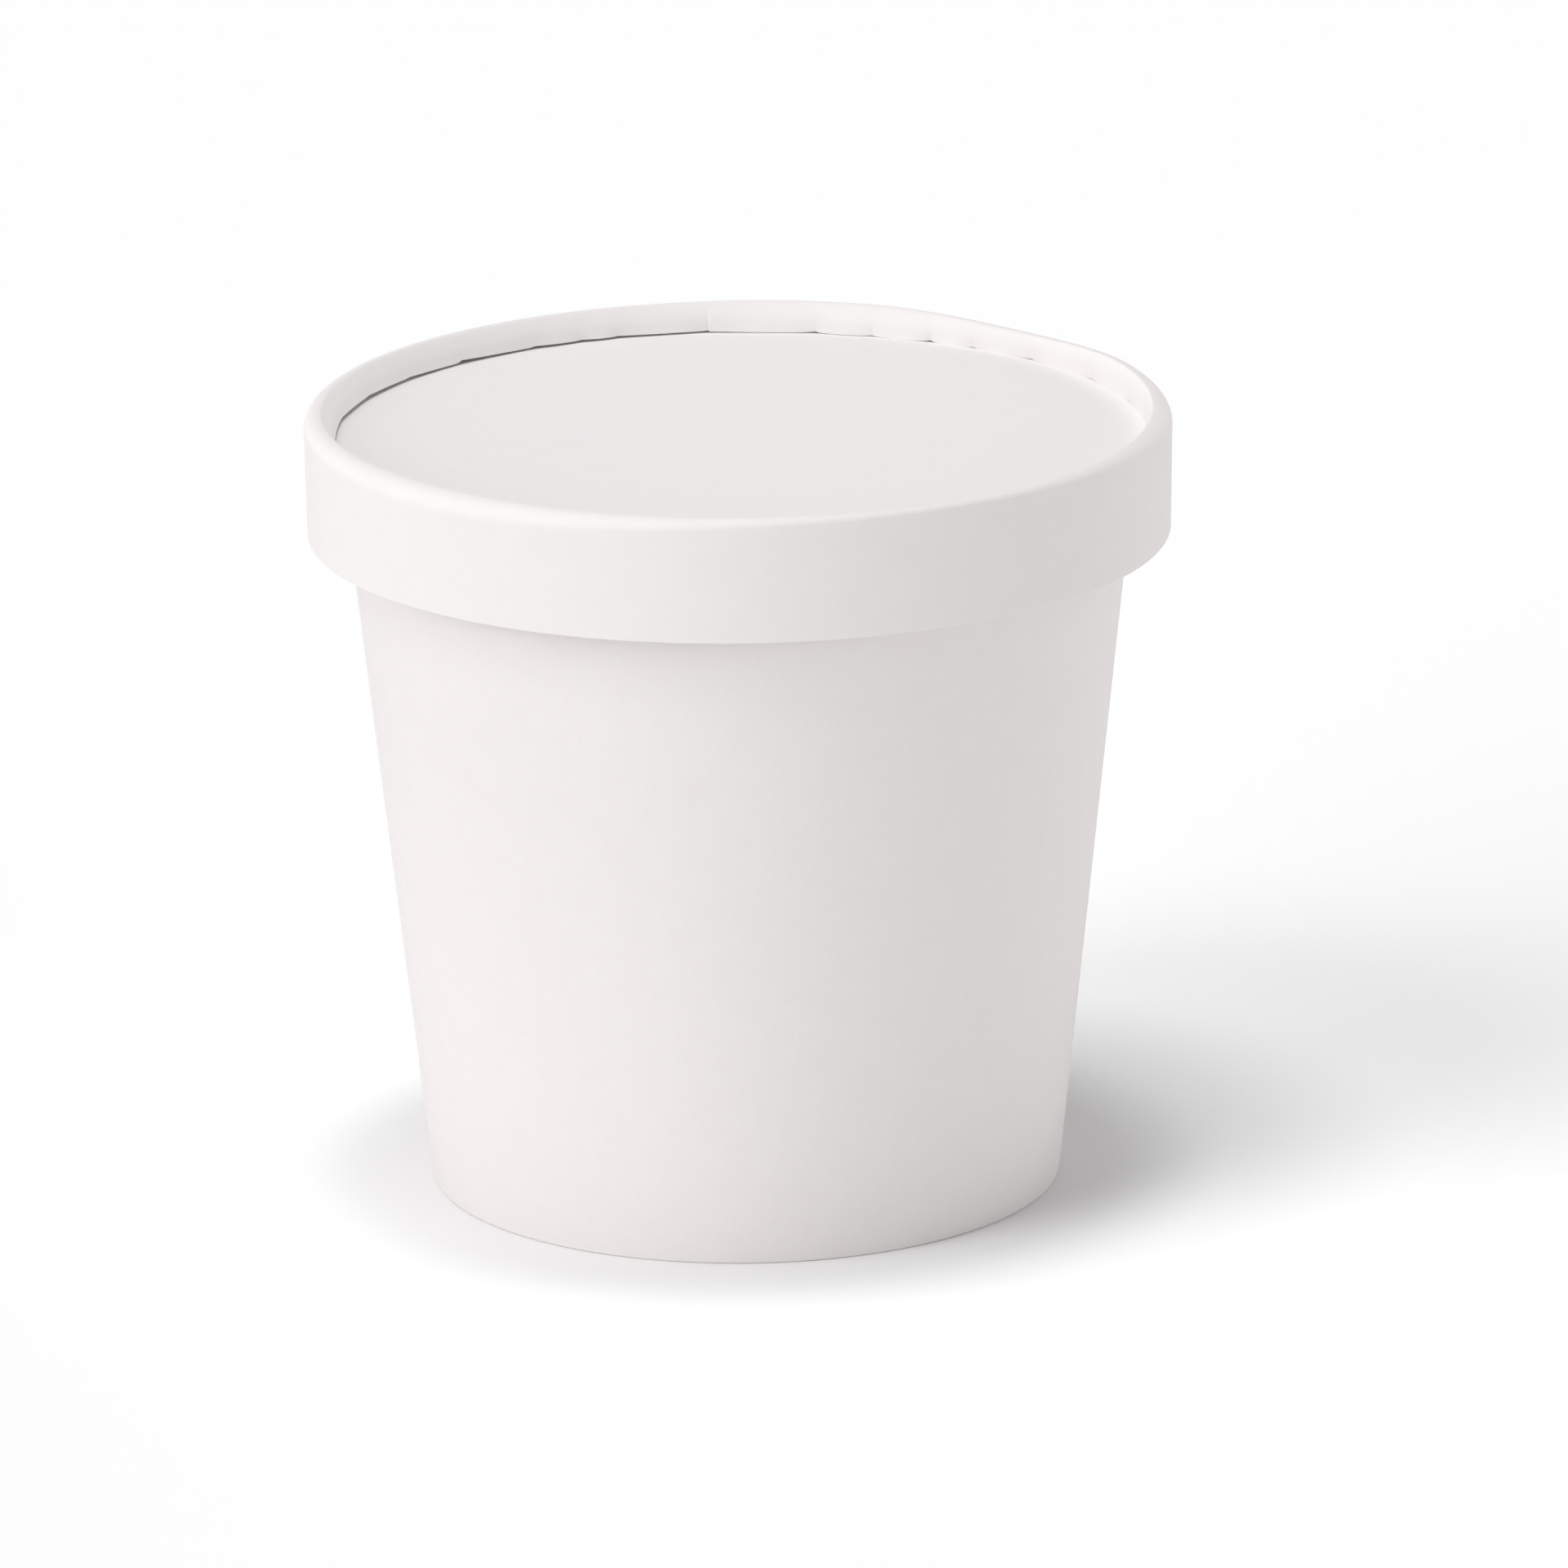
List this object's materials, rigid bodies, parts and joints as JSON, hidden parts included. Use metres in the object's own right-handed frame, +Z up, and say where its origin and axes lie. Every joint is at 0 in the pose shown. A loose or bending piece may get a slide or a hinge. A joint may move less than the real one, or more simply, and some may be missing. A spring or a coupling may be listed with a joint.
{
  "type": "paper ice cream cup with lid",
  "caption": "Plain white tapered board tub, shut with a matching paper lid that has a deep skirt, a soft rolled rim and a recessed flat top.",
  "frame": {"origin": "centre of the foot, on the surface that the cup stands on", "axes": "+Z up along the cup's axis; -Y towards the side that the picture shows; both lap seams are near +Y"},
  "size_m": [0.1024, 0.1024, 0.0942],
  "materials": {
    "cup_board": "matt white cup board with a faint fibre texture",
    "base_board": "matt white cup board, knurled where it is pressed together",
    "disc_board": "matt white lid board with a faint fibre texture",
    "strip_board": "matt white lid strip, folded and gathered into small pleats"
  },
  "bodies": {
    "root": {"cup": "cup_board", "cup_base": "base_board", "lid_disc": "disc_board", "lid_ring": "strip_board"}
  },
  "joints": []
}
